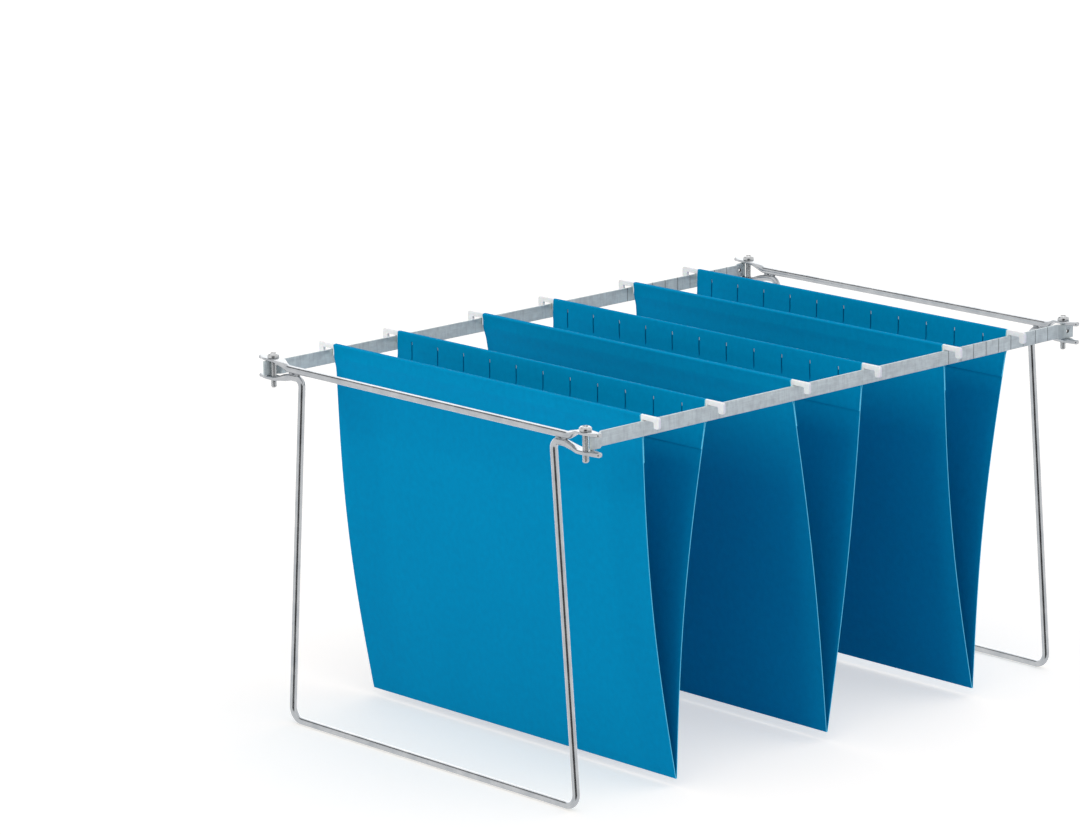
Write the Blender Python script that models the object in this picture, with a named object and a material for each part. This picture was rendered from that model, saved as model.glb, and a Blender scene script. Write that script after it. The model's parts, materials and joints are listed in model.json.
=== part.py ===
"""Hanging file rack for letter-size folders, with three hanging folders on it.

Frame: +X runs along the rails, from the front end to the rear end, +Y points to the
left-hand rail and +Z is up. The origin is on the floor, in the middle of the rack.
Everything is in metres.
"""

import math

import bmesh
import bpy
from mathutils import Matrix, Vector

MM = 0.001

# ---------------------------------------------------------------- driving dimensions
SCREW_SPAN_X = 457.2 * MM        # screw to screw along a rail
SCREW_SPAN_Y = 304.8 * MM        # screw to screw across the rack

RAIL_TOP = 251.5 * MM
RAIL_HEIGHT = 10.0 * MM
RAIL_THICKNESS = 1.6 * MM
RAIL_EDGE_BREAK = 0.25 * MM      # chamfer along the rail's long edges
# Lengths at a rail's end are from the screw, with the rail in the middle of its play.
RAIL_PLAY = 3.2 * MM             # the right rail is this far to the rear, the left to the front
RAIL_END_PAST_SCREW = 2.6 * MM
JOGGLE_OFFSET = 3.4 * MM         # how far the rail's end steps outwards, past the screw
JOGGLE_START = 10.8 * MM
JOGGLE_END = 4.8 * MM
END_HOLE_BEFORE_SCREW = 3.2 * MM
END_HOLE_RADIUS = 1.25 * MM
HOLE_SIDES = 16

SCORE_COUNT = 9
SCORE_PITCH = 12.7 * MM
SCORE_FROM_SCREW = 20.3 * MM     # first score line, from the rear screw
SCORE_DEPTH = 0.25 * MM
SCORE_WIDTH = 0.7 * MM

WIRE_RADIUS = 2.5 * MM
WIRE_SIDES = 12
WELD_GAP = 0.3 * MM
EAR_TIP_Y = 166.0 * MM
CROSSBAR_BEND_Y = 137.0 * MM
UPPER_EAR_BEND_Y = 146.5 * MM
LOWER_EAR_BEND_Y = 148.0 * MM
LEG_RUN_BEND_Y = 134.0 * MM
CROSSBAR_BELOW_RAIL_TOP = 3.1 * MM
LEG_TOP_Y = 122.8 * MM
LEG_FOOT_Y = 141.1 * MM
LEG_TOP_BEND_RADIUS = 5.0 * MM
LEG_FOOT_BEND_RADIUS = 9.0 * MM
EAR_BEND_RADIUS = 8.0 * MM
EAR_BLEND_LENGTH = 9.0 * MM      # from the flattened ear back to the round wire
EAR_NOSE_LENGTH = 3.0 * MM
EAR_SPACING = 2.2 * MM           # between two sections of the wire near an ear
EAR_NOSE_SHARE = 0.85            # how far round an ear's tip is turned, out of a half circle
EAR_ROUNDNESS = 0.4
UPPER_EAR_HALF_SIZE = (4.75 * MM, 1.1 * MM)      # half width, half thickness
LOWER_EAR_HALF_SIZE = (4.2 * MM, 1.4 * MM)
EAR_CLEARANCE = 0.3 * MM         # between a rail's edge and the ear that grips it

SCREW_RADIUS = 2.1 * MM
SCREW_HEAD_RADIUS = 4.1 * MM
SCREW_HEAD_HEIGHT = 3.0 * MM
SCREW_BELOW_RAIL = 8.3 * MM
SCREW_POINT_BREAK = 0.6 * MM
SCREW_HEAD_BREAK = 0.2 * MM      # under the head's rim
SCREW_SIDES = 20
CROWN_STEPS = 4
CROWN_FLAT = 0.62                # the flat top's share of the head's radius
CROWN_DROP = 0.55                # the rounded shoulder's share of the head's height
RECESS_ARM = 2.3 * MM
RECESS_WIDTH = 0.9 * MM
RECESS_DEPTH = 1.6 * MM
EAR_HOLE_RADIUS = 2.5 * MM
HEAD_SEAT_GAP = 0.3 * MM

CARD_WIDTH = 298.5 * MM
CARD_THICKNESS = 0.6 * MM
FLAP_DEPTH = 246.4 * MM          # rod axis to bottom crease
ROD_AXIS_Z = 251.0 * MM
CARD_ABOVE_ROD = 4.3 * MM
CREASE_OFFSET = 0.2 * MM         # crease line to a flap's inner face
PLY_OFFSET = 0.35 * MM           # the same, just under the rod's pocket
POCKET_HALF_WIDTH = 1.3 * MM
POCKET_TOP = 3.9 * MM            # above the rod's axis
POCKET_STRAIGHT = 5.0 * MM       # below the rod's axis
POCKET_BOTTOM = 9.0 * MM
HEM_DEPTH = 28.5 * MM
HEM_CORNER = (0.7 * MM, 0.9 * MM)                # chamfer along a flap's top edges
POCKET_CORNER = 0.5 * MM
FLAP_STATIONS = 12

SLOT_COUNT = 11                  # slots for index tabs, in the rear flap only
SLOT_PITCH = 26.3 * MM
SLOT_FROM_LEFT_EDGE = 15.0 * MM
SLOT_BELOW_TOP = 5.5 * MM
SLOT_HEIGHT = 13.5 * MM
SLOT_WIDTH = 1.0 * MM

ROD_THICKNESS = 1.0 * MM
ROD_HEIGHT = 7.4 * MM
ROD_EDGE_BREAK = 0.2 * MM

TIP_THICKNESS = 2.2 * MM
TIP_REACH = 16.5 * MM            # past the card's edge
TIP_TOP = 255.2 * MM
TIP_STUB_BOTTOM = 246.8 * MM
TIP_PRONG_BOTTOM = 247.4 * MM
TIP_PRONG_WIDTH = 5.0 * MM
TIP_STUB_END_Y = 151.0 * MM
TIP_START_GAP = 0.3 * MM
TIP_NOTCH_CLEARANCE = 0.3 * MM
TIP_CORNER_RADIUS = 1.4 * MM
TIP_STUB_RADIUS = 0.4 * MM
TIP_NOTCH_RADIUS = 0.8 * MM
TIP_EDGE_BREAK = 0.35 * MM

# One entry per folder: middle of the opening, opening between the rods, sideways bow
# of the card, positive towards +X.
FOLDERS = (
    (-146.9 * MM, 58.2 * MM, -6.0 * MM),
    (-4.4 * MM, 67.8 * MM, 3.0 * MM),
    (141.5 * MM, 65.0 * MM, -6.0 * MM),
)

BEND_STEP = math.radians(15.0)   # turn between two sections of a bent wire
CORNER_STEP = math.radians(30.0)  # turn between two points of a moulded corner


# ---------------------------------------------------------------- materials
def make_material(name, colour, roughness, metallic):
    """A plain Principled material."""
    material = bpy.data.materials.new(name)
    material.use_nodes = True
    shader = material.node_tree.nodes["Principled BSDF"]
    shader.inputs["Base Color"].default_value = (*colour, 1.0)
    shader.inputs["Roughness"].default_value = roughness
    shader.inputs["Metallic"].default_value = metallic
    return material


# ---------------------------------------------------------------- mesh helpers
def clear_scene():
    for old in list(bpy.data.objects):
        bpy.data.objects.remove(old, do_unlink=True)


def add_object(name, bm, material, smooth_angle=None):
    """Turn a bmesh into a named object with one material."""
    bmesh.ops.recalc_face_normals(bm, faces=bm.faces)
    mesh = bpy.data.meshes.new(name)
    bm.to_mesh(mesh)
    bm.free()
    if smooth_angle is not None:
        mesh.shade_smooth()
        mesh.set_sharp_from_angle(angle=smooth_angle)
    if material is not None:
        mesh.materials.append(material)
    obj = bpy.data.objects.new(name, mesh)
    bpy.context.scene.collection.objects.link(obj)
    return obj


def add_cutter(name, bm):
    """A hidden object that only cuts others."""
    cutter = add_object(name, bm, None)
    cutter.hide_render = True
    cutter.display_type = "WIRE"
    return cutter


def cut(obj, cutter):
    boolean = obj.modifiers.new("cut_" + cutter.name, "BOOLEAN")
    boolean.operation = "DIFFERENCE"
    boolean.solver = "EXACT"
    boolean.object = cutter


def fillet(points, radii, step_angle):
    """Round the inner corners of an open path with arcs; radii has one entry per corner."""
    path = [Vector(points[0])]
    for before, corner, after, radius in zip(points, points[1:], points[2:], radii):
        corner = Vector(corner)
        to_before = (Vector(before) - corner).normalized()
        to_after = (Vector(after) - corner).normalized()
        opening = to_before.angle(to_after)
        setback = radius / math.tan(opening / 2.0)
        centre = corner + (to_before + to_after).normalized() * (radius / math.sin(opening / 2.0))
        start = corner + to_before * setback - centre
        turn = start.angle_signed(corner + to_after * setback - centre)
        steps = max(2, math.ceil(abs(turn) / step_angle))
        for step in range(steps + 1):
            angle = -turn * step / steps
            path.append(centre + Matrix.Rotation(angle, 2) @ start)
    path.append(Vector(points[-1]))
    return path


def extrude_outline(outline, holes, half_length):
    """Extrude a closed (x, z) outline with holes along Y, to both sides of Y = 0."""
    bm = bmesh.new()
    edges = []
    for loop in [outline] + holes:
        corners = [bm.verts.new((x, -half_length, z)) for x, z in loop]
        for first, second in zip(corners, corners[1:] + corners[:1]):
            edges.append(bm.edges.new((first, second)))
    bmesh.ops.triangle_fill(bm, edges=edges, use_beauty=True)
    sweep = bmesh.ops.extrude_face_region(bm, geom=bm.faces[:], use_keep_orig=True)
    moved = [item for item in sweep["geom"] if isinstance(item, bmesh.types.BMVert)]
    bmesh.ops.translate(bm, verts=moved, vec=(0.0, 2.0 * half_length, 0.0))
    return bm


def stack_loops(loops):
    """Skin a list of equal closed 3-D loops and cap both ends."""
    bm = bmesh.new()
    rings = [[bm.verts.new(point) for point in loop] for loop in loops]
    for lower, upper in zip(rings, rings[1:]):
        for i in range(len(lower)):
            j = (i + 1) % len(lower)
            bm.faces.new((lower[i], lower[j], upper[j], upper[i]))
    caps = [bm.faces.new(rings[0]), bm.faces.new(list(reversed(rings[-1])))]
    bm.normal_update()
    bmesh.ops.triangulate(bm, faces=caps)
    return bm


def box_mesh(size, centre):
    bm = bmesh.new()
    bmesh.ops.create_cube(bm, size=1.0)
    bmesh.ops.scale(bm, verts=bm.verts, vec=size)
    bmesh.ops.translate(bm, verts=bm.verts, vec=centre)
    return bm


def cylinder_mesh(radius, length, sides, rotation, centre):
    bm = bmesh.new()
    bmesh.ops.create_cone(
        bm, cap_ends=True, segments=sides, radius1=radius, radius2=radius, depth=length)
    bmesh.ops.rotate(bm, verts=bm.verts, matrix=rotation)
    bmesh.ops.translate(bm, verts=bm.verts, vec=centre)
    return bm


# ---------------------------------------------------------------- rails
def rail_side(half_thickness, outer):
    """One face of the right-hand rail, front to rear, as (x, y) with y outwards."""
    side = 1.0 if outer else -1.0
    screw = SCREW_SPAN_X / 2.0
    end = screw + RAIL_END_PAST_SCREW
    slope = math.atan2(JOGGLE_OFFSET, JOGGLE_START - JOGGLE_END)
    mitre = side * half_thickness * math.tan(slope / 2.0)
    offset = side * half_thickness
    points = [
        (-end, JOGGLE_OFFSET + offset),
        (-screw + JOGGLE_END + mitre, JOGGLE_OFFSET + offset),
        (-screw + JOGGLE_START + mitre, offset),
    ]
    for i in reversed(range(SCORE_COUNT)):
        middle = screw - SCORE_FROM_SCREW - i * SCORE_PITCH
        points.append((middle - SCORE_WIDTH / 2.0, offset))
        points.append((middle, offset - side * SCORE_DEPTH))
        points.append((middle + SCORE_WIDTH / 2.0, offset))
    points += [
        (screw - JOGGLE_START - mitre, offset),
        (screw - JOGGLE_END - mitre, JOGGLE_OFFSET + offset),
        (end, JOGGLE_OFFSET + offset),
    ]
    return points


def make_rail(name, side, material):
    """A scored steel strip on edge, its ends stepped outwards, a hole in its scored end."""
    shift = -side * RAIL_PLAY
    full = RAIL_THICKNESS / 2.0
    thin = full - RAIL_EDGE_BREAK
    bottom = RAIL_TOP - RAIL_HEIGHT
    levels = (
        (bottom, thin),
        (bottom + RAIL_EDGE_BREAK, full),
        (RAIL_TOP - RAIL_EDGE_BREAK, full),
        (RAIL_TOP, thin),
    )
    loops = []
    for z, half_thickness in levels:
        outline = rail_side(half_thickness, True) + rail_side(half_thickness, False)[::-1]
        loops.append([(x + shift, side * (SCREW_SPAN_Y / 2.0 + y), z) for x, y in outline])
    rail = add_object(name, stack_loops(loops), material)
    hole_y = side * (SCREW_SPAN_Y / 2.0 + JOGGLE_OFFSET)
    hole_x = SCREW_SPAN_X / 2.0 - END_HOLE_BEFORE_SCREW + shift
    centre = (hole_x, hole_y, RAIL_TOP - RAIL_HEIGHT / 2.0)
    across = Matrix.Rotation(math.pi / 2.0, 3, "X")
    drill = cylinder_mesh(END_HOLE_RADIUS, 3.0 * RAIL_THICKNESS, HOLE_SIDES, across, centre)
    cut(rail, add_cutter(f"{name}_drill", drill))
    return rail


# ---------------------------------------------------------------- end frames
def ear_shape(distance, flat_length, ear_half_size):
    """Half width, half height and roundness of the wire at a distance from its tip.

    Roundness is the power in a superellipse: 1 for the round wire, less for a squarer ear.
    """
    half_width, half_height = ear_half_size
    if distance < EAR_NOSE_LENGTH:
        nose = 1.0 - distance / EAR_NOSE_LENGTH
        half_width *= math.sqrt(1.0 - (EAR_NOSE_SHARE * nose) ** 2)
    share = min(1.0, max(0.0, (distance - flat_length) / EAR_BLEND_LENGTH))
    share = share * share * (3.0 - 2.0 * share)
    width = half_width + (WIRE_RADIUS - half_width) * share
    height = half_height + (WIRE_RADIUS - half_height) * share
    roundness = EAR_ROUNDNESS + (1.0 - EAR_ROUNDNESS) * share
    return width, height, roundness


def resample(path, spacing_near_tip, near_length):
    """Add points near both ends of a path, where the wire's section changes."""
    def refine(points):
        fine = [points[0]]
        travelled = 0.0
        for first, second in zip(points, points[1:]):
            length = (second - first).length
            pieces = 1
            if travelled < near_length:
                pieces = max(1, math.ceil(min(length, near_length - travelled) / spacing_near_tip))
            reach = min(length, near_length - travelled) if travelled < near_length else length
            for piece in range(1, pieces + 1):
                fine.append(first.lerp(second, reach / length * piece / pieces))
            if (fine[-1] - second).length > 1e-7:
                fine.append(second)
            travelled += length
        return fine
    once = refine(path)
    return refine(once[::-1])[::-1]


def bend_wire(name, x, path, ear_half_size, flat_length, material):
    """Sweep the wire along a (y, z) path in the plane X = x, with an ear at both ends."""
    path = resample(path, EAR_SPACING, flat_length + EAR_BLEND_LENGTH)
    travelled = [0.0]
    for first, second in zip(path, path[1:]):
        travelled.append(travelled[-1] + (second - first).length)
    loops = []
    for i, point in enumerate(path):
        ahead = path[min(i + 1, len(path) - 1)]
        behind = path[max(i - 1, 0)]
        along = (ahead - behind).normalized()
        normal = Vector((-along.y, along.x))
        distance = min(travelled[i], travelled[-1] - travelled[i])
        width, height, roundness = ear_shape(distance, flat_length, ear_half_size)
        loop = []
        for k in range(WIRE_SIDES):
            angle = 2.0 * math.pi * (k + 0.5) / WIRE_SIDES
            across = math.copysign(abs(math.cos(angle)) ** roundness, math.cos(angle)) * width
            up = math.copysign(abs(math.sin(angle)) ** roundness, math.sin(angle)) * height
            loop.append((x + across, point.x + normal.x * up, point.y + normal.y * up))
        loops.append(loop)
    return add_object(name, stack_loops(loops), material, math.radians(40.0))


def drill_ears(wire, x):
    """Holes for the two screws that pass through a wire's ears."""
    for side in (-1.0, 1.0):
        centre = (x, side * SCREW_SPAN_Y / 2.0, RAIL_TOP - RAIL_HEIGHT / 2.0)
        drill = cylinder_mesh(EAR_HOLE_RADIUS, 4.0 * RAIL_HEIGHT, HOLE_SIDES, Matrix.Identity(3), centre)
        cut(wire, add_cutter(f"{wire.name}_drill_{'left' if side > 0 else 'right'}", drill))


def wire_face():
    """Distance from the wire's middle to its flat sides."""
    return WIRE_RADIUS * math.cos(math.pi / WIRE_SIDES)


def upper_ear_z():
    return RAIL_TOP + EAR_CLEARANCE + UPPER_EAR_HALF_SIZE[1]


def crossbar_z():
    return RAIL_TOP - CROSSBAR_BELOW_RAIL_TOP


def leg_run_z():
    """Height of the short level run at the top of each leg, under the crossbar."""
    return crossbar_z() - 2.0 * WIRE_RADIUS - WELD_GAP


def make_crossbar(name, x, material):
    """The top wire of an end frame, from ear to ear."""
    ear_z = upper_ear_z()
    bar_z = crossbar_z()
    half = [(EAR_TIP_Y, ear_z), (UPPER_EAR_BEND_Y, ear_z), (CROSSBAR_BEND_Y, bar_z)]
    points = half + [(-y, z) for y, z in reversed(half)]
    path = fillet(points, [EAR_BEND_RADIUS] * (len(points) - 2), BEND_STEP)
    bar = bend_wire(name, x, path, UPPER_EAR_HALF_SIZE, EAR_TIP_Y - UPPER_EAR_BEND_Y, material)
    drill_ears(bar, x)
    return bar


def make_leg_frame(name, x, material):
    """The U-shaped leg wire of an end frame: two splayed legs and a floor bar."""
    ear_z = RAIL_TOP - RAIL_HEIGHT - EAR_CLEARANCE - LOWER_EAR_HALF_SIZE[1]
    run_z = leg_run_z()
    half = [
        (EAR_TIP_Y, ear_z),
        (LOWER_EAR_BEND_Y, ear_z),
        (LEG_RUN_BEND_Y, run_z),
        (LEG_TOP_Y, run_z),
        (LEG_FOOT_Y, wire_face()),
    ]
    radii = [EAR_BEND_RADIUS, EAR_BEND_RADIUS, LEG_TOP_BEND_RADIUS, LEG_FOOT_BEND_RADIUS]
    points = half + [(-y, z) for y, z in reversed(half)]
    path = fillet(points, radii + radii[::-1], BEND_STEP)
    frame = bend_wire(name, x, path, LOWER_EAR_HALF_SIZE, EAR_TIP_Y - LOWER_EAR_BEND_Y, material)
    drill_ears(frame, x)
    return frame


# ---------------------------------------------------------------- clamp screws
def screw_profile():
    """Radius and height of a pan-head screw, from the head's top to the thread's tip."""
    seat = upper_ear_z() + UPPER_EAR_HALF_SIZE[1] + HEAD_SEAT_GAP
    top = seat + SCREW_HEAD_HEIGHT
    tip = RAIL_TOP - RAIL_HEIGHT - SCREW_BELOW_RAIL
    profile = [(0.0, top)]
    for step in range(CROWN_STEPS + 1):
        angle = math.pi / 2.0 * step / CROWN_STEPS
        radius = SCREW_HEAD_RADIUS * (CROWN_FLAT + (1.0 - CROWN_FLAT) * math.sin(angle))
        height = SCREW_HEAD_HEIGHT * (1.0 - CROWN_DROP * (1.0 - math.cos(angle)))
        profile.append((radius, seat + height))
    profile += [
        (SCREW_HEAD_RADIUS, seat + SCREW_HEAD_BREAK),
        (SCREW_HEAD_RADIUS - SCREW_HEAD_BREAK, seat),
        (SCREW_RADIUS, seat),
        (SCREW_RADIUS, tip + SCREW_POINT_BREAK),
        (SCREW_RADIUS - SCREW_POINT_BREAK, tip),
        (0.0, tip),
    ]
    return profile


def make_screw(name, x, y, material):
    """Pan-head screw with a cross recess, standing in a pair of ears."""
    profile = screw_profile()
    bm = bmesh.new()
    rings = []
    for radius, z in profile[1:-1]:
        ring = []
        for k in range(SCREW_SIDES):
            angle = 2.0 * math.pi * k / SCREW_SIDES
            ring.append(bm.verts.new((x + radius * math.cos(angle), y + radius * math.sin(angle), z)))
        rings.append(ring)
    for upper, lower in zip(rings, rings[1:]):
        for i in range(SCREW_SIDES):
            j = (i + 1) % SCREW_SIDES
            bm.faces.new((upper[i], lower[i], lower[j], upper[j]))
    for ring, (_, z) in ((rings[0], profile[0]), (rings[-1], profile[-1])):
        centre = bm.verts.new((x, y, z))
        for i in range(SCREW_SIDES):
            bm.faces.new((ring[i], ring[(i + 1) % SCREW_SIDES], centre))
    screw = add_object(name, bm, material, math.radians(35.0))
    top = profile[0][1]
    for turn in (0, 1):
        arms = [2.0 * RECESS_ARM, RECESS_WIDTH] if turn == 0 else [RECESS_WIDTH, 2.0 * RECESS_ARM]
        slot = box_mesh((*arms, 2.0 * RECESS_DEPTH), (x, y, top))
        cut(screw, add_cutter(f"{name}_recess_{turn + 1}", slot))
    return screw


# ---------------------------------------------------------------- hanging folders
def flap_outline(half_angle, bow):
    """Closed (outward, down) outline of a flap and of its rod pocket.

    Outward is measured from the line that joins the rod's axis to the bottom crease.
    """
    ply = CARD_THICKNESS
    pocket = POCKET_HALF_WIDTH
    shoulder = pocket + ply
    corner_across, corner_down = HEM_CORNER

    def face_offset(down):
        share = (down - POCKET_BOTTOM) / (FLAP_DEPTH - POCKET_BOTTOM)
        return PLY_OFFSET + (CREASE_OFFSET - PLY_OFFSET) * share

    lower = []
    for i in range(FLAP_STATIONS + 1):
        lower.append(HEM_DEPTH + (FLAP_DEPTH - HEM_DEPTH) * i / FLAP_STATIONS)
    inner = [(face_offset(down), down) for down in reversed(lower)]
    hem = [
        (face_offset(HEM_DEPTH) - ply, HEM_DEPTH),
        (PLY_OFFSET - ply, POCKET_BOTTOM),
        (-shoulder, POCKET_STRAIGHT),
        (-shoulder, -CARD_ABOVE_ROD + corner_down),
        (-shoulder + corner_across, -CARD_ABOVE_ROD),
        (shoulder - corner_across, -CARD_ABOVE_ROD),
        (shoulder, -CARD_ABOVE_ROD + corner_down),
        (shoulder, POCKET_STRAIGHT),
        (PLY_OFFSET + ply, POCKET_BOTTOM),
    ]
    outer = [(face_offset(down) + ply, down) for down in lower]
    pocket_loop = [
        (pocket, -POCKET_TOP + POCKET_CORNER),
        (pocket - POCKET_CORNER, -POCKET_TOP),
        (-pocket + POCKET_CORNER, -POCKET_TOP),
        (-pocket, -POCKET_TOP + POCKET_CORNER),
        (-pocket, POCKET_STRAIGHT),
        (PLY_OFFSET, POCKET_BOTTOM),
        (pocket, POCKET_STRAIGHT),
    ]

    def place(points, side):
        """side is -1 for a front flap, whose outer face looks to -X, and +1 for a rear flap."""
        placed = []
        for outward, down in points:
            share = max(0.0, (down - POCKET_BOTTOM) / (FLAP_DEPTH - POCKET_BOTTOM))
            sweep = bow * math.sin(math.pi * share)
            across = side * (outward * math.cos(half_angle) - down * math.sin(half_angle)) + sweep
            fall = outward * math.sin(half_angle) + down * math.cos(half_angle)
            placed.append((across, -fall))
        return placed

    return inner + hem + outer, pocket_loop, place


def make_flap(name, rod_x, side, half_angle, bow, material):
    """One card flap with its hem folded round the rod; its origin is on the rod's axis."""
    outline, pocket_loop, place = flap_outline(half_angle, bow)
    bm = extrude_outline(place(outline, side), [place(pocket_loop, side)], CARD_WIDTH / 2.0)
    flap = add_object(name, bm, material)
    flap.location = (rod_x, 0.0, ROD_AXIS_Z)
    if side > 0.0:
        cut(flap, make_slot_cutter(name, rod_x))
    return flap


def make_slot_cutter(name, rod_x):
    """A row of upright slots through both plies of a flap's hem."""
    bm = bmesh.new()
    top = ROD_AXIS_Z + CARD_ABOVE_ROD - SLOT_BELOW_TOP
    reach = 4.0 * (POCKET_HALF_WIDTH + CARD_THICKNESS)
    for i in range(SLOT_COUNT):
        y = CARD_WIDTH / 2.0 - SLOT_FROM_LEFT_EDGE - i * SLOT_PITCH
        slot = bmesh.ops.create_cube(bm, size=1.0)["verts"]
        bmesh.ops.scale(bm, verts=slot, vec=(2.0 * reach, SLOT_WIDTH, SLOT_HEIGHT))
        bmesh.ops.translate(bm, verts=slot, vec=(rod_x, y, top - SLOT_HEIGHT / 2.0))
    return add_cutter(name + "_slots", bm)


def make_rod(name, rod_x, material):
    """The flat steel rod inside a hem; its origin is on the rod's axis."""
    bm = box_mesh((ROD_THICKNESS, CARD_WIDTH, ROD_HEIGHT), (0.0, 0.0, 0.0))
    bmesh.ops.bevel(bm, geom=bm.edges[:], offset=ROD_EDGE_BREAK, segments=1, affect="EDGES")
    rod = add_object(name, bm, material)
    rod.location = (rod_x, 0.0, ROD_AXIS_Z)
    return rod


def tip_outline():
    """Outline of a hook tip, as (distance from the rack's middle, height)."""
    start = CARD_WIDTH / 2.0 + TIP_START_GAP
    reach = CARD_WIDTH / 2.0 + TIP_REACH
    prong = reach - TIP_PRONG_WIDTH
    ceiling = RAIL_TOP + TIP_NOTCH_CLEARANCE
    corners = [
        (start, TIP_STUB_BOTTOM),
        (TIP_STUB_END_Y, TIP_STUB_BOTTOM),
        (TIP_STUB_END_Y, ceiling),
        (prong, ceiling),
        (prong, TIP_PRONG_BOTTOM),
        (reach, TIP_PRONG_BOTTOM),
        (reach, TIP_TOP),
        (start, TIP_TOP),
    ]
    radii = [TIP_STUB_RADIUS, TIP_STUB_RADIUS, TIP_NOTCH_RADIUS] + [TIP_CORNER_RADIUS] * 3
    return [tuple(point) for point in fillet(corners, radii, CORNER_STEP)]


def make_tip(name, side, rod, material):
    """White moulded hook on a rod's end, which hangs over a rail."""
    half = TIP_THICKNESS / 2.0
    thin = half - TIP_EDGE_BREAK
    outline = tip_outline()
    loops = []
    for x, keep in ((-half, 1), (-thin, 0), (thin, 0), (half, 1)):
        loop = []
        for i, (y, z) in enumerate(outline):
            if keep:
                y, z = inset_point(outline, i, TIP_EDGE_BREAK)
            loop.append((x, side * y, z - ROD_AXIS_Z))
        loops.append(loop)
    tip = add_object(name, stack_loops(loops), material, math.radians(30.0))
    tip.parent = rod
    return tip


def inset_point(outline, i, distance):
    """Corner i of a closed outline, moved inwards by a distance from both its edges."""
    point = Vector(outline[i])
    before = (point - Vector(outline[i - 1])).normalized()
    after = (Vector(outline[(i + 1) % len(outline)]) - point).normalized()
    normal_before = Vector((-before.y, before.x))
    normal_after = Vector((-after.y, after.x))
    bisector = (normal_before + normal_after).normalized()
    return tuple(point + bisector * (distance / max(0.5, bisector.dot(normal_before))))


def make_folder(number, middle, opening, bow, card, steel, plastic):
    """A V-shaped hanging folder: two flaps, two rods and four hook tips."""
    half_angle = math.asin(opening / 2.0 / FLAP_DEPTH)
    for end, side in (("front", -1.0), ("rear", 1.0)):
        rod_x = middle + side * opening / 2.0
        make_flap(f"folder_{number}_{end}_flap", rod_x, side, half_angle, bow, card)
        rod = make_rod(f"folder_{number}_{end}_rod", rod_x, steel)
        for hand, across in (("left", 1.0), ("right", -1.0)):
            make_tip(f"folder_{number}_{end}_{hand}_tip", across, rod, plastic)


# ---------------------------------------------------------------- the whole object
def main():
    clear_scene()
    zinc = make_material("zinc_wire", (0.62, 0.63, 0.65), 0.28, 1.0)
    strip = make_material("rail_strip", (0.56, 0.57, 0.58), 0.38, 1.0)
    bright = make_material("screw_steel", (0.66, 0.67, 0.69), 0.25, 1.0)
    card = make_material("blue_card", (0.0, 0.22, 0.46), 0.75, 0.0)
    rod_steel = make_material("rod_steel", (0.55, 0.56, 0.58), 0.35, 1.0)
    plastic = make_material("white_tip", (0.86, 0.87, 0.88), 0.35, 0.0)

    for hand, side in (("left", 1.0), ("right", -1.0)):
        make_rail(f"{hand}_rail", side, strip)
    for end, x_side in (("front", -1.0), ("rear", 1.0)):
        x = x_side * SCREW_SPAN_X / 2.0
        make_crossbar(f"{end}_crossbar", x, zinc)
        make_leg_frame(f"{end}_leg_frame", x, zinc)
        for hand, side in (("left", 1.0), ("right", -1.0)):
            make_screw(f"{end}_{hand}_screw", x, side * SCREW_SPAN_Y / 2.0, bright)
    for number, (middle, opening, bow) in enumerate(FOLDERS, start=1):
        make_folder(number, middle, opening, bow, card, rod_steel, plastic)


main()
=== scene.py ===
"""Looks for the hanging file rack: zinc-plated wire, steel strip rails and blue card folders."""

import json
import math

import bmesh
import bpy
from mathutils import Matrix, Vector


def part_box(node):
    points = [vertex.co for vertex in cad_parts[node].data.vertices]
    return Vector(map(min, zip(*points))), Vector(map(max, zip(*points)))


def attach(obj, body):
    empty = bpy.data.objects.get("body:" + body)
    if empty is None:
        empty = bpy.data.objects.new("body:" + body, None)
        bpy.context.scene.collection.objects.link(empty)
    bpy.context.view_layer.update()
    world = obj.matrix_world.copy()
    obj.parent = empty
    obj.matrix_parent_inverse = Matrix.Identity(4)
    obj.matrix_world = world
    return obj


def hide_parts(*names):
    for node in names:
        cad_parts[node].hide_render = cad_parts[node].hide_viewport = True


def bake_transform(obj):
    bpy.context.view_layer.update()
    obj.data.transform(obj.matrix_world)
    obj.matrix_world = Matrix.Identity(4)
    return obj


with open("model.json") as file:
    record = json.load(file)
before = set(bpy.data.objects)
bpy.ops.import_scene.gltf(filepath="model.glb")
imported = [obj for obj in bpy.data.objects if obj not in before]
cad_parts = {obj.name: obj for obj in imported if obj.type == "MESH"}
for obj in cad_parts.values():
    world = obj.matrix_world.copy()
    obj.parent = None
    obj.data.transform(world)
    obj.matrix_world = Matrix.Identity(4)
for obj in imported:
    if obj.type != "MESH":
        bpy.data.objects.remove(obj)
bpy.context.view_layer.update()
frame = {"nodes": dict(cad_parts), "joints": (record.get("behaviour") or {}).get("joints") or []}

MM = 0.001

# ---------------------------------------------------------------- dimensions
# Where the CAD has a face, its place is read from the frame. These are the rest.
STRIP_THICKNESS = 1.6 * MM
STRIP_EDGE_RADIUS = 0.4 * MM
STRIP_END_BREAK = 0.15 * MM       # off each face of the strip's sheared ends
STRIP_END_BREAK_LENGTH = 0.3 * MM
# Distances from the screw are those of a rail in the middle of its play.
RAIL_END_PAST_SCREW = 2.6 * MM
JOGGLE_START = 10.8 * MM          # before the screw
JOGGLE_END = 4.8 * MM
END_HOLE_BEFORE_SCREW = 3.2 * MM
END_HOLE_RADIUS = 1.25 * MM
SCORE_FROM_SCREW = 20.3 * MM
SCORE_COUNT = 9
SCORE_PITCH = 12.7 * MM
SCORE_DEPTH = 0.28 * MM
SCORE_WIDTH = 0.7 * MM

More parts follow.
